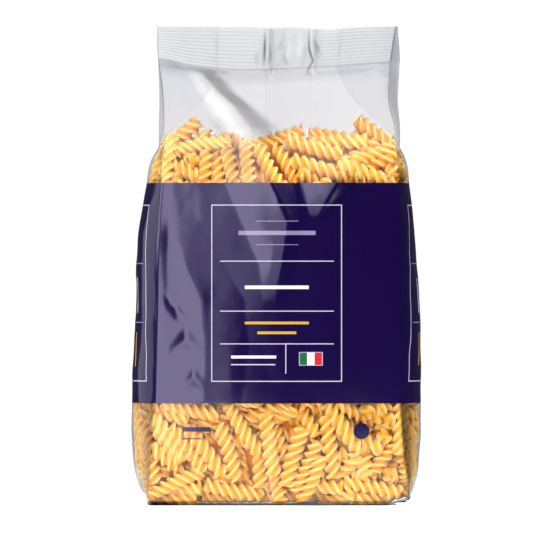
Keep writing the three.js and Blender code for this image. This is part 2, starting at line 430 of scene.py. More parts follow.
def wrapped_grid(name, columns, rows, place, paint=None):
    """A mesh of columns by rows squares. place takes the columns and rows counted to each corner
    and gives its point in mm; paint takes them and the mesh and gives values to store on it."""
    bm = bmesh.new()
    bmesh.ops.create_grid(bm, x_segments=columns, y_segments=rows, size=0.5)
    flat = np.array([v.co[:2] for v in bm.verts]) + 0.5
    column, row = np.rint(flat[:, 0] * columns).astype(int), np.rint(flat[:, 1] * rows).astype(int)
    for vertex, point in zip(bm.verts, place(column, row) * MM):
        vertex.co = point
    mesh = bpy.data.meshes.new(name)
    bm.to_mesh(mesh)
    bm.free()
    if paint:
        put_values(mesh, paint(column, row, mesh))
    return mesh


# %% [markdown]
# ## Materials: one helper for colour and one for nodes
# Colours are written as the hex values a person would pick from a picture. Blender's nodes want
# linear light, so one function turns them. One more adds a node, its settings and its links.

# %% Colour and node helpers
def colour(hex_code):
    """A linear RGBA colour from an sRGB hex code."""
    values = [int(hex_code[i:i + 2], 16) / 255 for i in (0, 2, 4)]
    return [v / 12.92 if v <= 0.04045 else ((v + 0.055) / 1.055) ** 2.4 for v in values] + [1.0]


def new_material(name):
    material = bpy.data.materials.new(name)
    material.use_nodes = True
    material.node_tree.nodes.clear()
    return material


def add_node(material, kind, settings=None, **inputs):
    """Adds a node. An input is a value or the socket that feeds it, and its name's underscores
    stand for spaces; a name such as n0 means an input by its number."""
    node = material.node_tree.nodes.new(kind)
    for name, value in (settings or {}).items():
        setattr(node, name, value)
    for name, value in inputs.items():
        socket = node.inputs[int(name[1:]) if name[1:].isdigit() else name.replace("_", " ")]
        if isinstance(value, bpy.types.NodeSocket):
            material.node_tree.links.new(value, socket)
        else:
            socket.default_value = value
    return node


# %% [markdown]
# ## Spiral pasta
# Each piece is a dough strip with three blades that a bronze die twists as it comes out. In
# Blender a star of three blunt blades is drawn once, then its edge is extruded a little and
# turned, again and again. A few different pieces are enough, because each copy is turned its own
# way. As there are some hundreds, each blade has only three corners at its edge and two at its
# root, and smooth shading rounds it.

# %% One spiral piece
AROUND, STEPS = 15, 20  # corners round a piece and steps along it


def spiral_piece(length, turns, radius, core, bend):
    """A spiral along Z about the origin: its points in mm, its faces, and how far out each point
    is, from 0 at the core to 1 at a blade's edge. bend is the radius it is bowed to, or 0."""
    bm = bmesh.new()
    rim = bmesh.ops.create_circle(bm, cap_ends=False, segments=AROUND, radius=1.0)["verts"]
    for v in rim:
        on_blade = np.clip(0.62 + np.cos(3 * np.arctan2(v.co.y, v.co.x)), 0, 1)
        v.co *= core + (radius - core) * on_blade
    bmesh.ops.translate(bm, verts=rim, vec=(0, 0, -length / 2))
    edges, turn = bm.edges[:], Matrix.Rotation(2 * np.pi * turns / STEPS, 3, "Z")
    for _ in range(STEPS):
        new = bmesh.ops.extrude_edge_only(bm, edges=edges)["geom"]
        ring = [g for g in new if isinstance(g, bmesh.types.BMVert)]
        edges = [g for g in new if isinstance(g, bmesh.types.BMEdge)]
        bmesh.ops.translate(bm, verts=ring, vec=(0, 0, length / STEPS))
        bmesh.ops.rotate(bm, verts=ring, cent=(0, 0, 0), matrix=turn)
    bmesh.ops.holes_fill(bm, edges=[e for e in bm.edges if e.is_boundary])
    bmesh.ops.recalc_face_normals(bm, faces=bm.faces)
    points = np.array([v.co[:] for v in bm.verts])
    faces = [[v.index for v in f.verts] for f in bm.faces]
    bm.free()
    out = (np.hypot(points[:, 0], points[:, 1]) - core) / (radius - core)
    if bend:
        angle = points[:, 2] / bend
        reach = bend + points[:, 0]
        points = np.c_[reach * np.cos(angle) - bend, points[:, 1], reach * np.sin(angle)]
    return points, faces, out


# Length, turns, radius, radius of the core and bend, in mm.
KINDS = [(31, 2.2, 4.3, 2.1, 90), (33, 2.4, 4.4, 2.2, 60), (28, 1.9, 4.2, 2.0, 110),
         (32, 2.5, 4.1, 2.0, 45), (34, 2.3, 4.5, 2.2, 0), (25, 1.6, 4.3, 2.1, 55),
         (30, 2.0, 4.4, 2.1, 150)]
SHAPES = [spiral_piece(*kind) for kind in KINDS]
HALF = np.array([kind[0] / 2 - 2.5 for kind in KINDS])  # half length between the centres of the ends
print(len(SHAPES), "kinds of spiral, each of", len(SHAPES[0][1]), "faces")

# %% [markdown]
# ## How the pasta lies
# Poured pasta settles until the pieces rest on one another and on the film. Blender could drop
# them as rigid bodies, but a few hundred hooked shapes take minutes. A lighter way gives the same
# look: each piece is treated as a rod with round ends, rods that overlap push one another apart,
# the film pushes them in, and their weight pulls them down, a few hundred times over. Only what
# shows is filled: the two windows and a layer behind the film, over a plain heart.

# %% Rods that settle
ROD = 3.2  # radius of the rods; the blades of neighbours reach into one another
WALL = 4.9  # least distance of a rod's middle line from the film
SHELL = 7.0  # thickness of the layer that the middle lines keep to
POUR_X, POUR_Y = 71, 28  # half the width and depth that they are poured over


def room(points, floor, ceiling, heart_top):
    """The nearest places to points that lie inside the film and outside the heart."""
    points = points.copy()
    points[:, 2] = np.clip(points[:, 2], floor, ceiling)
    points = inside(points, WALL)
    x, y, z = points.T
    row = smooth_rows(z)
    shell = half_depth(x, row) - WALL - SHELL
    deep = (np.abs(y) < shell) & (np.abs(x) < row[:, 0] - WALL - SHELL) & (z < heart_top)
    points[:, 1] = np.where(deep, np.where(y < 0, -1, 1) * shell, y)
    return points


def nearest_places(gap, axis_i, axis_j, half_i, half_j):
    """How far from its centre each of two rods comes nearest to the other."""
    cosine, on_i, on_j = (axis_i * axis_j).sum(1), (axis_i * gap).sum(1), (axis_j * gap).sum(1)
    s = np.clip((cosine * on_j - on_i) / np.maximum(1 - cosine**2, 1e-3), -half_i, half_i)
    t = np.clip(cosine * s + on_j, -half_j, half_j)
    return np.clip(cosine * t - on_i, -half_i, half_i), t


def push_apart(centre, axis, half, first, second):
    """How the rods that overlap move and turn one another; first and second count out the pairs."""
    move, turn = np.zeros_like(centre), np.zeros_like(axis)
    gap = centre[first] - centre[second]
    near = np.linalg.norm(gap, axis=1) < half[first] + half[second] + 2 * ROD
    i, j, gap = first[near], second[near], gap[near]
    s, t = nearest_places(gap, axis[i], axis[j], half[i], half[j])
    apart = gap + s[:, None] * axis[i] - t[:, None] * axis[j]
    distance = np.maximum(np.linalg.norm(apart, axis=1), 1e-6)
    push = apart / distance[:, None] * (np.clip(2 * ROD - distance, 0, None) / 2)[:, None]
    np.add.at(move, i, push)
    np.add.at(move, j, -push)
    np.add.at(turn, i, push * (3 * s / half[i] ** 2)[:, None])
    np.add.at(turn, j, -push * (3 * t / half[j] ** 2)[:, None])
    return move, turn


# %% [markdown]
# In each round the rods push one another apart, the room keeps them in, and they sink a little.
# Only a share of each push is carried out, so that they come to rest.

# %% Let the rods settle
MOVE_SHARE, MOST_MOVE = 0.45, 2.5  # of a push in one round, and the limit in mm
TURN_SHARE, MOST_TURN = 0.18, 0.2  # the same for turning, in radians


def settle(centre, axis, half, held, bounds, weight, rounds=420):
    """Moves and turns rods until they lie together; the held ones stay where they are."""
    pairs = np.triu_indices(len(centre), 1)
    free = ~held[:, None]
    for count in range(rounds):
        move, turn = push_apart(centre, axis, half, *pairs)
        for end in (-1, 0, 1):
            place = centre + axis * (end * half)[:, None]
            back = room(place, *bounds) - place
            move += back * 0.6
            turn += back * (end / half)[:, None]
        move[:, 0] += 0.8 * (centre[:, 0] / 70) ** 5  # the bulging sides are full
        move[:, 2] -= weight if count < rounds * 0.8 else weight / 4
        centre = centre + np.clip(MOVE_SHARE * move, -MOST_MOVE, MOST_MOVE) * free
        axis = axis + np.clip(TURN_SHARE * turn, -MOST_TURN, MOST_TURN) * free
        axis = axis / np.linalg.norm(axis, axis=1, keepdims=True)
    return centre, axis


def front_share(x, z):
    left, right = smooth_rows(z).T[:2]
    return (x + left) / (left + right)


def pour(random, held, count, low, high, bounds, weight):
    """Lays count rods between two heights, together with the held ones. Those are given by the x,
    the depth behind the front film and the z of both ends."""
    ends = np.array(held, float).reshape(-1, 2, 3)
    x, _, z = ends.reshape(-1, 3).T
    face = film(front_share(x, z), z, detail=False)[:, 1].reshape(-1, 2)
    ends[:, :, 1] += face
    kinds = np.concatenate([np.full(len(ends), 0), random.integers(0, len(SHAPES), count)])
    # The bulging sides take more of them than their share of the width.
    loose = random.uniform((-1, -POUR_Y, low), (1, POUR_Y, high), (count, 3))
    loose[:, 0] = POUR_X * np.sign(loose[:, 0]) * np.abs(loose[:, 0]) ** 0.5
    centre = np.concatenate([ends.mean(1), loose])
    axis = np.concatenate([ends[:, 1] - ends[:, 0], random.normal(size=(count, 3)) * (1, 0.6, 0.8)])
    axis = axis / np.linalg.norm(axis, axis=1, keepdims=True)
    fixed = np.arange(len(kinds)) < len(ends)
    return kinds, *settle(centre, axis, HALF[kinds], fixed, bounds, weight)


# %% [markdown]
# Some thirty pieces are laid one by one where the photograph shows them most: the skyline of the
# heap against the empty film, and those that lie flat behind the lower window.

# %% Lay the pasta
UPPER_HELD = [
    ((-45.2, 6, 195.2), (-60.7, 6, 185.2)), ((-36, 6, 193), (-37.5, 5, 166)),
    ((-27, 6, 193), (-22.5, 5, 166)), ((-16.6, 6, 188), (-13.5, 5, 160)),
    ((-62, 5, 182), (-43, 5, 172)), ((-9.5, 5, 184), (2.5, 5, 164)),
    ((-14, 8, 185.8), (12.5, 8, 194)), ((5.5, 5, 190), (33, 5, 181.5)),
    ((18, 8, 194), (45, 8, 188.5)), ((44.5, 6, 197.8), (63.5, 7, 185.2)),
    ((43, 5, 178.5), (62, 6, 187)), ((9, 5, 179), (36, 5, 171)),
    ((42.5, 12, 191), (41.5, 12, 170)), ((0, 9, 187), (12, 9, 165)),
    ((-63.5, 22, 163), (-59.5, 22, 184)), ((64.8, 22, 163), (61.8, 22, 184)),
]
LOWER_HELD = [
    ((-6.1, 5, 48), (-2.2, 5, 16)), ((-26.2, 5, 52.8), (-9.8, 5, 26.6)),
    ((-29.2, 5, 43), (-20.8, 5, 13)), ((12.6, 5, 40.6), (4.2, 5, 10.8)),
    ((21.8, 5, 34.4), (9.2, 5, 6.1)), ((25.3, 5, 46), (29.3, 5, 15)),
    ((16.5, 11, 53.6), (43.5, 11, 38.4)), ((36, 5, 13), (64, 5, 6.5)),
    ((47.5, 6, 15), (66.5, 6, 39)), ((-66, 6, 6.2), (-38, 5, 18.8)),
    ((-37.5, 5, 10.7), (-7.3, 5, 4.8)), ((-67, 6, 48), (-51, 5, 22)),
    ((-55, 5, 42), (-37, 5, 18)), ((-60, 5, 53.5), (-30, 5, 46.5)),
    ((-3, 10.5, 4.6), (20, 10.5, 5.6)), ((-34, 9.5, 4.4), (-12, 9.5, 4.6)),
    ((-2, 10, 40), (8, 10, 16)),
]
upper = pour(np.random.default_rng(11), UPPER_HELD, 110, 156, 196, (157, 189, 160), 0.12)
lower = pour(np.random.default_rng(4), LOWER_HELD, 173, 4, 60, (3.7, 58, 400), 0.03)
print("Upper heap top:", upper[1][:, 2].max().round(1), "lower top:", lower[1][:, 2].max().round(1))

# %% [markdown]
# ### Pasta as a material
# Dried durum dough is a warm, dense yellow that lets a little light in. Its blade edges are paler,
# partly a faint bloom of flour that the bronze die leaves rough and partly a painted highlight.
# Every piece dries a little differently, so each has its own tone.

# %% Dried durum pasta
def dried_pasta():
    m = new_material("dried_durum_pasta")
    coordinates = add_node(m, "ShaderNodeTexCoord")
    # Semolina grains are about half a millimetre across.
    grain = add_node(m, "ShaderNodeTexNoise", Vector=coordinates.outputs["Object"], Scale=1 / (0.5 * MM),
                     Detail=2.0)
    patches = add_node(m, "ShaderNodeTexNoise", Vector=coordinates.outputs["Object"], Scale=1 / (7 * MM))
    tone = add_node(m, "ShaderNodeAttribute", {"attribute_name": "tone"})
    rim = add_node(m, "ShaderNodeAttribute", {"attribute_name": "rim"})
    shade = add_node(m, "ShaderNodeMath", {"operation": "MULTIPLY_ADD"}, n0=patches.outputs["Fac"],
                     n1=0.4, n2=tone.outputs["Fac"])
    dough = add_node(m, "ShaderNodeValToRGB", Fac=shade.outputs[0])
    dough.color_ramp.elements[0].color = colour("FFAA1C")
    dough.color_ramp.elements[1].color = colour("FFBC2E")
    # The blade edges are mixed towards a pale colour: a bloom of flour and a painted highlight.
    # Sockets 6 and 7 of a Mix node are its two colours, and output 2 is the mixed one.
    floury_and_highlit = add_node(m, "ShaderNodeMix", {"data_type": "RGBA"}, n0=rim.outputs["Fac"],
                      n6=dough.outputs[0], n7=colour("FFDC98"))
    relief = add_node(m, "ShaderNodeBump", Strength=0.25, Distance=0.08 * MM, Height=grain.outputs["Fac"])
    skin = add_node(m, "ShaderNodeBsdfPrincipled", Base_Color=floury_and_highlit.outputs[2], Roughness=0.5,
                    Specular_IOR_Level=0.25, Subsurface_Weight=0.4, Subsurface_Scale=2.2 * MM,
                    Normal=relief.outputs[0])
    skin.inputs["Subsurface Radius"].default_value = (1.0, 0.6, 0.2)
    add_node(m, "ShaderNodeOutputMaterial", Surface=skin.outputs[0])
    return m


def joined_pasta(name, random, kinds, centre, axis):
    """One mesh of all the pieces, each rolled its own way about its axis."""
    points, faces, tones, blooms_and_highlights, count = [], [], [], [], 0
    for kind, at, along in zip(kinds, centre, axis):
        shape, shape_faces, out = SHAPES[kind]
        lie = Vector(along).to_track_quat("Z", "Y").to_matrix()
        turn = lie @ Matrix.Rotation(random.uniform(0, 6.28), 3, "Z")
        placed = shape @ np.array(turn).T * random.uniform(0.94, 1.05) + at
        # What would stand out of the bag is pressed flat. The bag's base is lowest at its rim.
        from_rim = half_depth(placed[:, 0], smooth_rows(placed[:, 2])) - np.abs(placed[:, 1])
        placed[:, 2] = np.maximum(placed[:, 2], 0.6 + 1.2 * ease(from_rim, 1, 8))
        placed = inside(placed, 0.9)
        placed[:, 2] += corner_lift(placed[:, 0], placed[:, 2])
        points.append(placed + (*MIDDLE, 0))
        faces += [[count + corner for corner in face] for face in shape_faces]
        tones.append(np.full(len(shape), random.uniform(0, 0.6)))
        # Paler blade edges: part bloom of flour, part painted highlight.
        blooms_and_highlights.append(np.clip(out, 0, 1) ** 2 * 0.8)
        count += len(shape)
    mesh = bpy.data.meshes.new(name)
    mesh.from_pydata(np.concatenate(points) * MM, [], faces)
    put_values(mesh, {"tone": np.concatenate(tones), "rim": np.concatenate(blooms_and_highlights)})
    return new_piece(name, mesh, [dried_pasta()])


both = [np.concatenate(pair) for pair in zip(upper, lower)]
pasta = joined_pasta("spiral_pasta", np.random.default_rng(21), *both)
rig.replaces(pasta, "packet")
print(len(both[0]), "pieces,", sum(len(p.vertices) - 2 for p in pasta.data.polygons), "triangles")

# %% [markdown]
# ### The heart of the contents
# Behind the pieces that show, the gaps between them end in more pasta in deep shade. A plain lumpy
# form in a darker orange, painted shade, stands for it, so no light comes through from the far side.

# %% Heart of the contents
def shaded_pasta():
    m = new_material("pasta_in_deep_shade")
    coordinates = add_node(m, "ShaderNodeTexCoord")
    mottle = add_node(m, "ShaderNodeTexNoise", Vector=coordinates.outputs["Object"], Scale=1 / (6 * MM),
                      Detail=3.0)
    # A darker orange than the pieces: painted shade of the deep gaps.
    dough = add_node(m, "ShaderNodeValToRGB", Fac=mottle.outputs["Fac"])
    dough.color_ramp.elements[0].color = colour("D67C0C")
    dough.color_ramp.elements[1].color = colour("F09A20")
    skin = add_node(m, "ShaderNodeBsdfPrincipled", Base_Color=dough.outputs[0], Roughness=0.7,
                    Specular_IOR_Level=0.2)
    add_node(m, "ShaderNodeOutputMaterial", Surface=skin.outputs[0])
    return m


HEART_DEPTH = 13.0  # how far the heart lies behind the film, apart from its lumps, in mm
HEART_BOTTOM, HEART_TOP, HEART_ROWS = 1.9, 172.0, 46
CAP_ROWS = 3  # rows at either end that close the heart
HEART_COLUMNS = 96


def heart_corner(column, row):
    around = 4 * column / HEART_COLUMNS
    step = np.clip(row - CAP_ROWS, 0, HEART_ROWS)
    z = HEART_BOTTOM + step * (HEART_TOP - HEART_BOTTOM) / HEART_ROWS
    x, y = plain_film(around, z)
    shrink = np.clip(np.minimum(row, 2 * CAP_ROWS + HEART_ROWS - row) / CAP_ROWS, 0, 1)[:, None]
    points = inside(np.c_[x, y, z], HEART_DEPTH)
    points = points + 1.4 * np.c_[lumps(points, 6), lumps(points, 6, 9.1), 0 * z]
    return np.c_[points[:, :2] * shrink + MIDDLE, z]


heart_mesh = wrapped_grid("pasta_heart", HEART_COLUMNS, HEART_ROWS + 2 * CAP_ROWS, heart_corner)
heart = new_piece("pasta_heart", heart_mesh, [shaded_pasta()])
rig.replaces(heart, "packet")
print("Heart:", len(heart_mesh.polygons), "squares")

# %% [markdown]
# ## Clear film
# The bag is clear polypropylene film, 40 thousandths of a millimetre thick, drawn flat by rollers.
# It mirrors a little more towards its edges and lets most light through. Where it lies on pasta it
# looks quite clear, and where it is slack it looks milky. Attributes painted on the film when it is
# made say how milky, how dull and how dark each spot is, and carry painted light and shade: the
# layers of a gusset are dull, as they lie against others, and painted shade darkens the far slope
# of a fold.

# %% Clear polypropylene film
def clear_film():
    m = new_material("clear_polypropylene_film")
    coordinates = add_node(m, "ShaderNodeTexCoord")
    # Slack film is never quite flat: waves about 4 mm apart break up the reflections.
    waves = add_node(m, "ShaderNodeTexNoise", Vector=coordinates.outputs["Object"], Scale=1 / (4 * MM),
                     Detail=2.0)
    relief = add_node(m, "ShaderNodeBump", Strength=0.08, Distance=0.6 * MM, Height=waves.outputs["Fac"])
    milk, dull, shade = (add_node(m, "ShaderNodeAttribute", {"attribute_name": name}).outputs["Fac"]
                         for name in ("milk", "dull", "shade"))
    # Painted shade darkens what the film lets through.
    lets_by = add_node(m, "ShaderNodeMath", {"operation": "SUBTRACT", "use_clamp": True}, n0=0.97,
                       n1=shade)
    through = add_node(m, "ShaderNodeBsdfTransparent", Color=lets_by.outputs[0])
    # The welded layers of the seal are whiter than slack film.
    white = add_node(m, "ShaderNodeValToRGB", Fac=milk)
    white.color_ramp.elements[0].position, white.color_ramp.elements[0].color = 0.5, colour("999CA4")
    white.color_ramp.elements[1].position, white.color_ramp.elements[1].color = 0.8, colour("B5B6B9")
    # Painted shade also darkens the haze, towards 303034.
    # Sockets 6 and 7 of a Mix node are its two colours, and output 2 is the mixed one.
    tone = add_node(m, "ShaderNodeMix", {"data_type": "RGBA"}, n0=shade, n6=white.outputs[0],
                    n7=colour("303034"))
    front_lit = add_node(m, "ShaderNodeBsdfDiffuse", Color=tone.outputs[2], Normal=relief.outputs[0])
    back_lit = add_node(m, "ShaderNodeBsdfTranslucent", Color=tone.outputs[2], Normal=relief.outputs[0])
    haze = add_node(m, "ShaderNodeMixShader", Fac=0.35, n1=front_lit.outputs[0], n2=back_lit.outputs[0])
    body = add_node(m, "ShaderNodeMixShader", Fac=milk, n1=through.outputs[0], n2=haze.outputs[0])
    gloss = add_node(m, "ShaderNodeBsdfGlossy", Roughness=0.13, Normal=relief.outputs[0])
    edge = add_node(m, "ShaderNodeFresnel", IOR=1.49, Normal=relief.outputs[0])
    shine = add_node(m, "ShaderNodeMath", {"operation": "SUBTRACT", "use_clamp": True}, n0=1.0, n1=dull)
    mirror = add_node(m, "ShaderNodeMath", {"operation": "MULTIPLY"}, n0=edge.outputs[0],
                      n1=shine.outputs[0])
    all_of_it = add_node(m, "ShaderNodeMixShader", Fac=mirror.outputs[0], n1=body.outputs[0],
                         n2=gloss.outputs[0])
    add_node(m, "ShaderNodeOutputMaterial", Surface=all_of_it.outputs[0])
    return m


# %% [markdown]
# ### Printed film
# The band is the same film with dark blue ink on its inner face, backed with white, so it is
# opaque and just as glossy. Dense violet-blue ink bronzes a little: its gloss is tinted, here by
# the specular tint. The ink lines and bars are printed with it.

# %% Printed film and inks
def printed(name, hex_code, roughness=0.15, tint="FFFFFF"):
    m = new_material(name)
    coordinates = add_node(m, "ShaderNodeTexCoord")
    waves = add_node(m, "ShaderNodeTexNoise", Vector=coordinates.outputs["Object"], Scale=1 / (5 * MM),
                     Detail=2.0)
    relief = add_node(m, "ShaderNodeBump", Strength=0.06, Distance=0.6 * MM, Height=waves.outputs["Fac"])
    skin = add_node(m, "ShaderNodeBsdfPrincipled", Base_Color=colour(hex_code), Roughness=roughness,
                    IOR=1.49, Specular_Tint=colour(tint), Normal=relief.outputs[0])
    add_node(m, "ShaderNodeOutputMaterial", Surface=skin.outputs[0])
    return m


CLEAR = clear_film()
NAVY = printed("dark_blue_printed_film", "0A0227", tint="E2DAFF")
LILAC_INK = printed("lilac_ink", "635B78", 0.3)
PALE_INK = printed("pale_lilac_ink", "8F8A9E", 0.3)
GOLD_INK = printed("gold_yellow_ink", "94741F", 0.3)
GREEN_INK = printed("green_ink", "00421F", 0.3)
WHITE_INK = printed("white_ink", "AEACB4", 0.3)
RED_INK = printed("red_ink", "900810", 0.3)
print([m.name for m in bpy.data.materials])

# %% [markdown]
# ## The film bag
# One grid wraps the whole bag, from the back seam round to the back seam again, where its two
# edges lap as on the real bag. Rows are closest in the seal, four to a crimp, and a row lies on
# each edge of the printed band. Below the lowest row the film turns under and folds to a line
# across the bottom, where the lower seal is.

# %% Rows and columns of the film
SEAM = (2.463, 2.557)  # where the back seam's lap starts and ends, counted round the bag
COLUMNS = np.concatenate([
    np.linspace(SEAM[0], 3, 44, endpoint=False), np.linspace(3, 4, 38, endpoint=False),
    4 + np.interp(np.linspace(0, 1, 140, endpoint=False), [0, 0.33, 0.5, 0.59, 0.77, 1],
                  [0, 0.43, 0.49, 0.61, 0.68, 1]), np.linspace(5, 6, 38, endpoint=False),
    np.linspace(6, 4 + SEAM[1], 45)])
SEAL_ROWS = int(4 * (HEIGHT - SEAL_BOTTOM) / CRIMP_PITCH)
ROWS = np.concatenate([
    np.linspace(3, BAND[0], 44, endpoint=False), np.linspace(*BAND, 96, endpoint=False),
    np.linspace(BAND[1], SEAL_BOTTOM, 62, endpoint=False), np.linspace(SEAL_BOTTOM, HEIGHT, SEAL_ROWS)])
# How far the film has gone in under the bag: share of the way to the seal line, and height.
UNDER = [(1.0, 1.2), (0.8, 1.1), (0.6, 1.0), (0.4, 0.8), (0.2, 0.4), (0.1, 0.15), (0.045, 0.0),
         (0.02, 0.25), (0.006, 0.9), (0.0, 1.9)]
BOTTOM_LINE = -1.0  # y of the lower seal line, in mm
LAP = 0.35  # how far the upper edge of the back seam stands off the lower one, in mm


def film_corner(column, row):
    around = COLUMNS[column]
    z = ROWS[np.maximum(row - len(UNDER), 0)]
    on_lap = ease(around, 4 + SEAM[0] - 0.01, 4 + SEAM[0])
    points = film(around, z, lift=LAP * on_lap * (1 - ease(z, SEAL_BOTTOM - 8, SEAL_BOTTOM)))
    under = row < len(UNDER)
    share, height = np.array(UNDER)[np.minimum(row, len(UNDER) - 1)].T
    share, tuck = np.where(under, share, 0), np.where((np.floor(around) % 2 == 1) & under, 1.0, 0.0)
    tent = 1 - np.abs(2 * (around - np.floor(around)) - 1)
    # The sides are tucked in under the bag, most at their middle.
    points[:, 0] *= 1 - 0.02 * ease(share, 0, 0.05) - tuck * tent * share * 0.42
    points[:, 1] += share * (BOTTOM_LINE - points[:, 1])
    points[:, 2] = np.where(under, height + corner_lift(points[:, 0], height) * (1 - share), points[:, 2])
    return points


# %% [markdown]
# A ray from each corner of the film straight into the bag finds out whether pasta lies behind it.
# Film with pasta behind it is left clear, and where there is none it is milky.

# %% What lies behind the film
INWARDS = [(0, 1, 0), (-1, 0, 0), (0, -1, 0), (1, 0, 0)]  # from the front, right, back and left panel


def emptiness(mesh, panel, contents):
    """1 for each corner of a mesh that has nothing behind it, 0 for the others."""
    trees = [BVHTree.FromPolygons([v.co for v in c.data.vertices], [p.vertices for p in c.data.polygons])
             for c in contents]
    return np.array([
        float(all(tree.ray_cast(vertex.co, Vector(INWARDS[side]), 80 * MM)[0] is None for tree in trees))
        for vertex, side in zip(mesh.vertices, panel)])


# %% [markdown]
# The paint follows from where a corner lies: on which panel, how near the seal, on which slope of
# the long fold, and whether on pasta. All of that is measured once. Apart from the places in mm,
# each measure is a share from 0 to 1.

# %% Where each corner of the film lies
def film_places(column, row, mesh):
    around, z = COLUMNS[column], ROWS[np.maximum(row - len(UNDER), 0)]
    panel, share = np.floor(around).astype(int) % 4, around - np.floor(around)
    x, height = np.array([v.co[:] for v in mesh.vertices]).T[[0, 2]] / MM
    at = SimpleNamespace(x=x, z=z, height=height, front=panel == 0, right=panel == 1, left=panel == 3)
    at.side = at.right | at.left
    at.from_front = np.where(at.right, share, 1 - share)
    at.lapped = around < SEAM[1]  # the under layer of the back seam
    at.empty = emptiness(mesh, panel, [pasta, heart])
    at.head = ease(z, 168, 178)
    at.open_part = 1 - ease(z, SEAL_BOTTOM - 5, SEAL_BOTTOM - 1)
    at.seal = ease(z, SEAL_BOTTOM - 1, SEAL_BOTTOM + 1)
    at.slope = fold_place(x, z, LONG_FOLD)
    at.on_near_slope = bump((at.slope + 0.45) / 0.7)
    at.outer_strip = ease(at.from_front, 0.8, 0.95) * at.side * at.head
    # A small flat of film shows empty between the pasta and the floor, and so does a corner; milkiness and painted
    # shade make both grey.
    at.flat = np.where(at.front, ease(3.2 * (1 - np.abs(x - 17) / 6.5) - height, -0.6, 0.3), 0)
    at.flat = at.flat + np.where(at.front | at.right, ease(x, 60, 66) * (1 - ease(height, 2.5, 5)), 0)
    # The front film lies close on the pasta, apart from the near slope of the long fold; there it mirrors little and
    # takes painted shade.
    at.on_pasta = 0.5 * at.front * (1 - at.empty) * (1 - at.on_near_slope)
    return at


# %% [markdown]
# Slack film scatters light and looks milky, more so towards the left. On the near slope of the long
# fold, which mirrors the lights, the milkiness is thinned as a painted highlight, a thin milky veil
# over the pasta there and on the left is painted light, and extra milkiness on the outer strips of
# the gussets and on the left side below the band is painted light and shade. The welded layers of
# the seal are nearly white.

# %% How milky the film is, with painted light and shade
def how_milky_with_painted_light(at):
    slack = np.where(at.side, 0.48, np.where(at.front, 0.3, 0.48) * (1 - 0.005 * at.x)) * at.head
    # Painted highlight: less milkiness on the near slope of the long fold.
    painted_highlight = np.where(~at.side & (at.slope < 0), bump((at.slope + 0.45) / 0.6), 0) * ease(at.z, 182, 196)
    milk = 0.01 + at.empty * (0.04 + slack) * (1 - 0.9 * painted_highlight * at.open_part)
    # Painted light: a thin milky veil over pasta on the near slope and on the left.
    veil = 0.03 * ease(-at.x, -5, 10) + 0.12 * at.on_near_slope
    milk = milk + (1 - at.empty) * at.front * at.head * veil
    # Painted light and shade: more milkiness on the outer strips of the gussets and on the left side below the band.
    milk = np.where(at.side & (at.z > 182), 0.12 + 0.4 * at.outer_strip, milk)
    milk = milk + np.where(at.left & (at.z < BAND[0]), 0.14, 0)
    # Painted shade: in the seal the outer strip of the right gusset is milkier, so grey.
    weld = np.where(at.side, 0.1 + 0.4 * at.right * at.outer_strip, 0.8)
    return milk * (1 - at.seal) * (1 - at.lapped) + at.seal * weld + 0.8 * at.flat


# %% [markdown]
# Shade is painted on the far slope of the long fold, under the left of the seal, on the sides, at
# the foot, on the small flats and on film over pasta, and the sharp creases of the seal are painted
# as dark lines. Two of those run down from its pinches, and the small ones lie beside them.

# %% Painted shade on the film
# The sharp creases of the seal are only painted dark lines, painted shade.
CREASE_SHADE_WIDTH = 1.1  # half the width of a sharp crease in the seal, in mm
SEAL_CREASE_SHADE_LINES = [  # heights and places of a line, how dark it is, its middle and half its length
    (((233, 246), (-6.6, -6.0)), 0.8, 240, 10),
    (((225.6, 229, 234, 240, 248), (18.5, 15.7, 18.9, 16.9, 16.7)), 0.8, 237, 15),
    (((236, 241, 245), (22.6, 21.5, 19.2)), 0.5, 240.5, 6),
    (((235, 241, 244), (21.3, 20.1, 18.7)), 0.35, 239.5, 6),
    (((233, 238), (-9.4, -11)), 0.3, 236, 4), (((233, 237, 243), (-4.4, -3.2, -4.2)), 0.4, 238, 7),
    (((233, 237), (5.3, 3.5)), 0.35, 235, 4), (((239, 244), (0.9, 3)), 0.2, 242, 4),
    (((231, 249), (-31.2, -31.2)), 0.15, 240, 12), (((231, 249), (32.8, 32.8)), 0.15, 240, 12)]


def painted_shade_of(at):
    # Painted shade on the far slope of the long fold, under the left of the seal and on the small flats.
    far_slope = at.front * (at.slope > 0) * np.clip(1.7 * bump((at.slope - 0.5) / 0.85), 0, 1)
    under_seal = at.front * bump((at.z - 229) / 2) * ease(at.x, -60, -52) * (1 - ease(at.x, -28, -22))
    shade = 0.4 * far_slope * ease(at.z, 186, 198) * at.open_part + 0.3 * under_seal + 0.55 * at.flat
    # Painted shade on the sides below the headspace and on the outer strip of the right gusset.
    shade = shade + (1 - ease(at.z, 182, 194)) * (0.36 * at.right + 0.28 * at.left)
    shade = shade + 0.2 * at.right * at.outer_strip
    # Painted shade on the sides just behind the front creases.
    behind_crease = at.side * (1 - at.seal) * (1 - at.head) * (1 - ease(at.from_front, 0, 0.22))
    shade = shade + behind_crease * np.where(at.right, 0.35, 0.25)
    # Painted shade along the foot of the front, darkest on the left.
    shade = shade + at.front * (1 - ease(at.height, 2.0, 3.0)) * (0.8 - 0.35 * ease(at.x, -66, -44))
    # Painted shade lines along the creases of the seal.
    for track, dark, middle, reach in SEAL_CREASE_SHADE_LINES:
        across = bump((at.x - np.interp(at.z, *track)) / CREASE_SHADE_WIDTH)
        shade = shade + at.front * dark * across * bump((at.z - middle) / reach)
    # Film that lies on pasta takes painted shade as well.
    return shade + 0.31 * at.on_pasta


# %% [markdown]
# Film that lies on pasta or against another layer mirrors little. With this last measure the film
# can be made and painted.

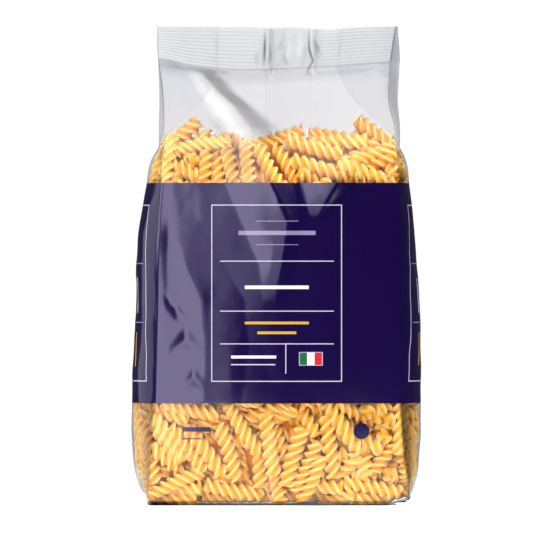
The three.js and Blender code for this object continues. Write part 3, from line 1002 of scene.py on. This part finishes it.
# %% How dull the film is, and the film itself
def how_dull(at):
    on_front = 0.65 * ease(at.z, 220, 228) + at.on_pasta
    dull = np.where(at.side, 0.75 + 0.2 * at.head, np.where(at.front, on_front, at.head))
    dull = dull + 0.8 * at.front * bump((at.slope - 0.5) / 0.85) * ease(at.z, 166, 170)
    return np.maximum(dull + (at.height < 2.5), at.lapped)


def paint_film(column, row, mesh):
    at = film_places(column, row, mesh)
    return {"milk": np.clip(how_milky_with_painted_light(at), 0, 1), "dull": np.clip(how_dull(at), 0, 1),
            "shade": np.clip(painted_shade_of(at), 0, 0.9)}


film_mesh = wrapped_grid("film_bag", len(COLUMNS) - 1, len(ROWS) + len(UNDER) - 1, film_corner,
                         paint_film)
film_bag = new_piece("film_bag", film_mesh, [CLEAR, NAVY])
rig.replaces(film_bag, "packet")
heights = np.array([p.center.z for p in film_mesh.polygons]) / MM
film_mesh.polygons.foreach_set("material_index", ((heights > BAND[0]) & (heights < BAND[1])).astype(int))
print("Film:", len(film_mesh.polygons), "squares")

# %% [markdown]
# ## The lower seal
# Under the bag the welded strip is folded flat towards the front. It has the same crimps as the
# top seal, and it is what the packet stands on, together with the rim of the film round it.

# %% Folded lower seal
FLAP_COLUMNS, FLAP_ROWS = 60, 48
FLAP_WIDTH = 124.0  # mm


def flap_corner(column, row):
    x = -FLAP_WIDTH / 2 + column * (FLAP_WIDTH / FLAP_COLUMNS)
    y = np.interp(row, [0, 4, FLAP_ROWS], [0.5, -1.5, -15.5])
    crimp = CRIMP_DEPTH * np.cos(2 * np.pi * (y + 1.5) / CRIMP_PITCH) * (row > 4)
    z = 0.4 + crimp + 0.05 * np.sin(x / 11)
    return np.c_[x + MIDDLE[0], y + MIDDLE[1], z]


def paint_flap(column, row, mesh):
    return {"milk": np.full(len(column), 0.12), "dull": np.full(len(column), 0.9)}


flap_mesh = wrapped_grid("bottom_seal", FLAP_COLUMNS, FLAP_ROWS, flap_corner, paint_flap)
bottom_seal = new_piece("bottom_seal", flap_mesh, [CLEAR])
layers = bottom_seal.modifiers.new("layers", "SOLIDIFY")
layers.thickness, layers.offset = 0.5 * MM, 0
print("Lower seal:", len(flap_mesh.polygons), "squares")

# %% [markdown]
# ## The print
# The band carries a plain frame with rules and level bars. Each bar is a small grid laid on the
# film, so its edges stay sharp however close one looks, and it rises and falls with the folds. A
# bar is given by its left, right, bottom and top edge as one faces its panel, counted from the
# panel's middle.

# %% Bars and frames
INK_LIFT = 0.13  # the ink stands this far off the film's face, in mm
SIDE_WIDTH = 54.0  # of the film between the creases of a side, in mm
BAR_GRID = 0.9  # longest side of a bar's squares, in mm


def right_share(u, z):
    return 1.5 + (u + 0.05 * (z - 107)) / SIDE_WIDTH  # the sides' print runs a little askew


def left_share(u, z):
    return 3.5 + (u - 0.05 * (z - 107)) / SIDE_WIDTH


def back_share(u, z):
    left, right = smooth_rows(z).T[2:4]
    return 2 + (right + u) / (left + right)


def bar(share_of, left, right, bottom, top, lift=INK_LIFT):
    """A flat bar on the film."""
    columns = max(1, int((right - left) / BAR_GRID))
    rows = max(1, int((top - bottom) / BAR_GRID))

    def corner(column, row):
        u = left + (right - left) * column / columns
        z = bottom + (top - bottom) * row / rows
        return film(share_of(u, z), z, lift=lift)

    return wrapped_grid("bar", columns, rows, corner)


def outline(share_of, left, right, bottom, top, line=0.6):
    """The four bars of a frame."""
    return [bar(share_of, left, right, top - line, top),
            bar(share_of, left, right, bottom, bottom + line),
            bar(share_of, left, left + line, bottom + line, top - line),
            bar(share_of, right - line, right, bottom + line, top - line)]


def printed_piece(name, shapes):
    """Joins meshes, given as (mesh, material) pairs, into one piece."""
    bm = bmesh.new()
    materials = []
    for mesh, material in shapes:
        if material not in materials:
            materials.append(material)
        first = len(bm.faces)
        bm.from_mesh(mesh)
        bm.faces.ensure_lookup_table()
        for face in bm.faces[first:]:
            face.material_index = materials.index(material)
        bpy.data.meshes.remove(mesh)
    joined = bpy.data.meshes.new(name)
    bm.to_mesh(joined)
    bm.free()
    return new_piece(name, joined, materials)


# %% [markdown]
# ### Front
# The frame, three level rules and a short upright one follow the photograph. Between them are the
# bars, and a small field in three colours.

# %% Print on the front
FRAME = (64.5, 156.4)  # bottom and top of the frames
FRONT_BARS = [  # left, right, bottom, top and ink
    (-29.6, 29.5, 126.8, 127.3, PALE_INK), (-29.6, 29.5, 100.9, 101.4, PALE_INK),
    (-29.6, 29.5, 83.9, 84.4, PALE_INK), (4.3, 4.8, 68.8, 83.9, PALE_INK),
    (-20, 20, 140.6, 142.8, LILAC_INK), (-11, 11, 147.6, 148.0, LILAC_INK),
    (-11, 11, 135.4, 135.8, LILAC_INK), (-16.7, 16.4, 112.6, 114.4, WHITE_INK),
    (-16.7, 16.5, 94.3, 95.7, GOLD_INK), (-10.2, 10.0, 89.2, 90.6, GOLD_INK),
    (-23.8, -0.5, 76.6, 78.1, WHITE_INK), (-23.9, -0.9, 73.1, 73.7, PALE_INK),
    (-48.9, -34.4, 38.6, 41.0, NAVY), (-49.3, -39.2, 34.6, 35.2, NAVY),
]
STRIPE = 3.85  # width of each colour of the small field


def front_panel_print():
    shapes = [(m, PALE_INK) for m in outline(front_share, -34.1, 33.7, *FRAME, 0.5)]
    shapes += [(bar(front_share, *edges), ink) for *edges, ink in FRONT_BARS]
    shapes += [(bar(front_share, 11.4, 23.7, 72.9, 79.9, INK_LIFT * 0.6), PALE_INK)]
    field = zip((11.75, 15.6, 19.45), (GREEN_INK, WHITE_INK, RED_INK))
    shapes += [(bar(front_share, left, left + STRIPE, 73.2, 79.6), ink) for left, ink in field]
    return printed_piece("print_front", shapes)


print_front = front_panel_print()
print("Front print:", len(print_front.data.polygons), "squares")

# %% [markdown]
# ### Sides and back
# The photograph shows the edge of a frame on each side, with the ends of rules and of bars that
# run upwards. The back isn't seen, so it has plain frames and lines on either side of the seam.

# %% Print on the sides and the back
def side_print(name, share_of):
    shapes = [(m, PALE_INK) for m in outline(share_of, -19.5, 19.5, *FRAME, 0.55)]
    shapes += [(bar(share_of, -17, 17, z, z + 0.5), LILAC_INK) for z in (95.0, 125.6)]
    for u in (-9, -1, 7):
        shapes += [(bar(share_of, u, u + 1.4, 70 + abs(u) / 3, 90), GOLD_INK),
                   (bar(share_of, u, u + 1.8, 100, 121 - abs(u) / 3), PALE_INK)]
    return printed_piece(name, shapes)


def back_print():
    shapes = []
    for side in (-1, 1):
        left, right = sorted((side * 12, side * 48))
        shapes += [(m, PALE_INK) for m in outline(back_share, left, right, *FRAME, 0.55)]
        for line in range(14):
            z, short = 149 - 5.6 * line, (0, 3, 1, 9, 0, 2, 14)[line % 7]
            shapes.append((bar(back_share, left + 3, right - 3 - short, z, z + 1.1), PALE_INK))
    return printed_piece("print_back", shapes)


print_left = side_print("print_left", left_share)
print_right = side_print("print_right", right_share)
print_back = back_print()
print("Side and back print:", len(print_left.data.polygons), len(print_back.data.polygons), "squares")

# %% [markdown]
# A round spot is printed low on the right. Blender's circle operator makes the disc, and its
# corners go through the same function to lie on the film.

# %% Round spot of the front
def spot(x, z, radius):
    bm = bmesh.new()
    bmesh.ops.create_circle(bm, cap_ends=True, cap_tris=True, segments=40, radius=radius)
    bmesh.ops.subdivide_edges(bm, edges=[e for e in bm.edges if not e.is_boundary], cuts=3)
    at = np.array([v.co[:2] for v in bm.verts]) + (x, z)
    for vertex, point in zip(bm.verts, film(front_share(at[:, 0], at[:, 1]), at[:, 1], lift=INK_LIFT)):
        vertex.co = point * MM
    mesh = bpy.data.meshes.new("spot")
    bm.to_mesh(mesh)
    bm.free()
    return mesh


print_spot = printed_piece("print_spot", [(spot(43.8, 38.9, 4.2), NAVY)])
print("Spot:", len(print_spot.data.polygons), "faces")

# %% [markdown]
# ## Studio
# The camera is far away with a long lens, as in the photograph, and stands level with the middle
# of the packet.

# %% Camera
PHOTO_WIDTH = 540  # pixels; the photograph is square
MIDDLE_COLUMN, FLOOR_ROW = 277, 505.5  # pixels where the packet's middle and its foot are in it
SCALE = 0.52  # mm for one of its pixels
SCALE_DEPTH = 15  # how far in front of the packet's middle that scale holds, in mm
DISTANCE = 6000.0  # of the camera, in mm


def aim(thing, place, target):
    thing.location = Vector(place) * MM
    thing.rotation_euler = (Vector(target) - Vector(place)).to_track_quat("-Z", "Y").to_euler()
    bpy.context.scene.collection.objects.link(thing)


camera = bpy.data.objects.new("camera", bpy.data.cameras.new("camera"))
camera.data.lens = camera.data.sensor_width * (DISTANCE - SCALE_DEPTH) / (PHOTO_WIDTH * SCALE)
# Where the middle of the photograph lies in the frame.
view_x = (PHOTO_WIDTH / 2 - MIDDLE_COLUMN) * SCALE + MIDDLE[0]
view_z = (FLOOR_ROW - PHOTO_WIDTH / 2) * SCALE
aim(camera, (view_x, -DISTANCE, view_z), (view_x, 0, view_z))
bpy.context.scene.camera = camera
print("Lens:", round(camera.data.lens), "mm")

# %% [markdown]
# A narrow soft box close to the left of the camera is what the left third of the band mirrors, with
# a dimmer one beside it for the veil over the band's middle, and a dim one behind on the left is
# what the left side mirrors. The rest of the light comes from wide soft boxes above, behind and at
# the sides, where the flat front doesn't mirror them.

# %% Lights
LIT_PLACE = Vector((0, 0, 120))  # the lights point at the middle of the packet


def soft_box(name, azimuth, elevation, distance, width, height, watts):
    """An area light. Azimuth 0 is where the camera stands, and it counts to the right. The distance
    is in mm, and the light's width and height are in metres."""
    lamp = bpy.data.lights.new(name, "AREA")
    lamp.shape, lamp.size, lamp.size_y, lamp.energy = "RECTANGLE", width, height, watts
    a, e = np.radians(azimuth), np.radians(elevation)
    place = Vector((np.sin(a) * np.cos(e), -np.cos(a) * np.cos(e), np.sin(e))) * distance
    aim(bpy.data.objects.new(name, lamp), place + LIT_PLACE, LIT_PLACE)


soft_box("near_left", -24, 3, 1500, 0.5, 1.3, 12.5)
soft_box("veil_left", -9.5, 3, 1500, 0.28, 1.3, 2.4)
soft_box("wide_left", -68, 28, 1500, 1.2, 1.4, 29)
soft_box("rear_left", -114, 8, 1500, 0.8, 1.2, 3.6)
soft_box("wide_right", 55, 45, 1600, 0.9, 1.2, 26)
soft_box("above", 8, 62, 2600, 3.0, 2.2, 118)
soft_box("behind", 180, 60, 2400, 3.0, 2.0, 28)
print(len(bpy.data.lights), "soft boxes")

# %% [markdown]
# The packet stands on a plain white floor, and the camera sees plain white behind it.

# %% Floor and room
FLOOR_REACH = 0.35  # metres from its middle to each edge
floor_bm = bmesh.new()
bmesh.ops.create_grid(floor_bm, x_segments=1, y_segments=1, size=FLOOR_REACH)
floor_mesh = bpy.data.meshes.new("floor")
floor_bm.to_mesh(floor_mesh)
floor_bm.free()
floor = bpy.data.objects.new("floor", floor_mesh)
bpy.context.scene.collection.objects.link(floor)
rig.stage(floor)
paint = new_material("white_studio_floor")
board = add_node(paint, "ShaderNodeBsdfPrincipled", Base_Color=colour("F2F2F2"), Roughness=0.8,
                 Emission_Color=(1, 1, 1, 1), Emission_Strength=0.7)
add_node(paint, "ShaderNodeOutputMaterial", Surface=board.outputs[0])
floor_mesh.materials.append(paint)

world = bpy.data.worlds.new("studio")
world.use_nodes = True
world.node_tree.nodes.clear()
seen = add_node(world, "ShaderNodeLightPath")
room_light = add_node(world, "ShaderNodeBackground", Color=(1, 1, 1, 1), Strength=0.06)
white_wall = add_node(world, "ShaderNodeBackground", Color=(1, 1, 1, 1), Strength=1.05)
sky = add_node(world, "ShaderNodeMixShader", Fac=seen.outputs["Is Camera Ray"], n1=room_light.outputs[0],
               n2=white_wall.outputs[0])
add_node(world, "ShaderNodeOutputWorld", Surface=sky.outputs[0])
bpy.context.scene.world = world
bpy.context.scene.view_settings.view_transform = "Standard"
print("Floor:", floor_mesh.materials[0].name)

# %% [markdown]
# ## Sizes, and the end
# The box of the dressed packet and the box of the CAD solid are both written down. The
# dressed packet has to stay in the box of the CAD solid.

# %% Finish
json.dump({"cad": [list(c) for c in cad_box], "visual": [list(c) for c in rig.bounds()]},
          open("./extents.json", "w"))
print(open("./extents.json").read())
